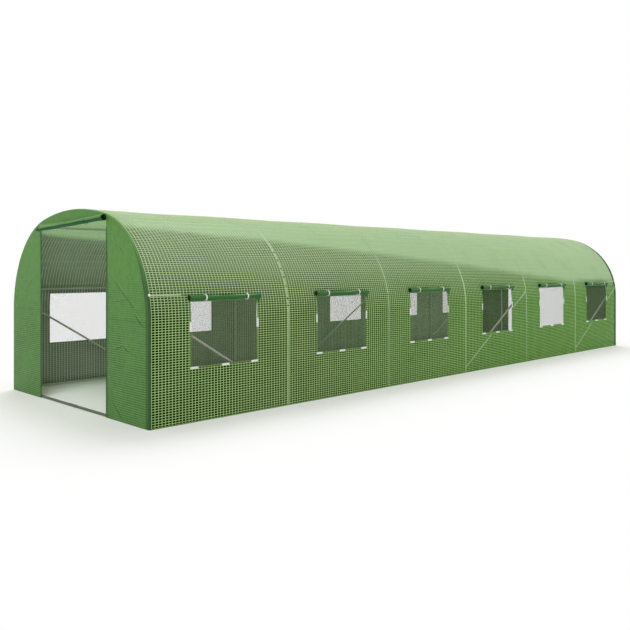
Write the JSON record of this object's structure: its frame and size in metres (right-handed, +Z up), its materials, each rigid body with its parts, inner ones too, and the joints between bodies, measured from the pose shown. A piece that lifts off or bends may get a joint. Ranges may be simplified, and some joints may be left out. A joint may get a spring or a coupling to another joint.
{
  "type": "polytunnel greenhouse",
  "caption": "Walk-in polytunnel greenhouse: arched tube frame under green reinforced film, netted side windows with rolled-up flaps and a doorway in each end",
  "frame": {"origin": "centre of the footprint, on the ground", "axes": "+X to the right seen from the front doorway, +Y from the front end to the rear end, +Z up"},
  "size_m": [3.085, 10.1326, 2.05],
  "materials": {
    "galvanised_tube": "satin",
    "coated_rail": "satin",
    "cover_film": "gloss",
    "end_fabric": "matte",
    "edge_tape": "matte",
    "insect_net": "matte",
    "flap_cloth": "matte",
    "white_webbing": "matte"
  },
  "bodies": {
    "root": {"right_legs": "galvanised_tube", "left_legs": "galvanised_tube", "right_bends": "galvanised_tube", "left_bends": "galvanised_tube", "crown_tubes": "galvanised_tube", "ridge_purlin": "galvanised_tube", "right_shoulder_purlin": "galvanised_tube", "left_shoulder_purlin": "galvanised_tube", "right_side_purlin": "galvanised_tube", "left_side_purlin": "galvanised_tube", "right_base_rail": "galvanised_tube", "left_base_rail": "galvanised_tube", "front_base_rail": "coated_rail", "rear_base_rail": "coated_rail", "right_braces": "galvanised_tube", "left_braces": "galvanised_tube", "front_door_posts": "galvanised_tube", "rear_door_posts": "galvanised_tube", "right_wall_sheet": "cover_film", "left_wall_sheet": "cover_film", "right_roof_sheet": "cover_film", "left_roof_sheet": "cover_film", "crown_sheet": "cover_film", "front_left_panel": "end_fabric", "front_right_panel": "end_fabric", "front_gable": "end_fabric", "rear_left_panel": "end_fabric", "rear_right_panel": "end_fabric", "rear_gable": "end_fabric", "front_edge_binding": "edge_tape", "rear_edge_binding": "edge_tape", "right_window_nets": "insect_net", "left_window_nets": "insect_net", "right_window_rolls": "flap_cloth", "left_window_rolls": "flap_cloth", "right_roll_ties": "white_webbing", "left_roll_ties": "white_webbing", "right_window_tabs": "white_webbing", "left_window_tabs": "white_webbing", "front_door_roll": "flap_cloth", "rear_door_roll": "flap_cloth", "front_door_ties": "white_webbing", "rear_door_ties": "white_webbing", "front_door_zips": "edge_tape", "rear_door_zips": "edge_tape"}
  },
  "joints": []
}
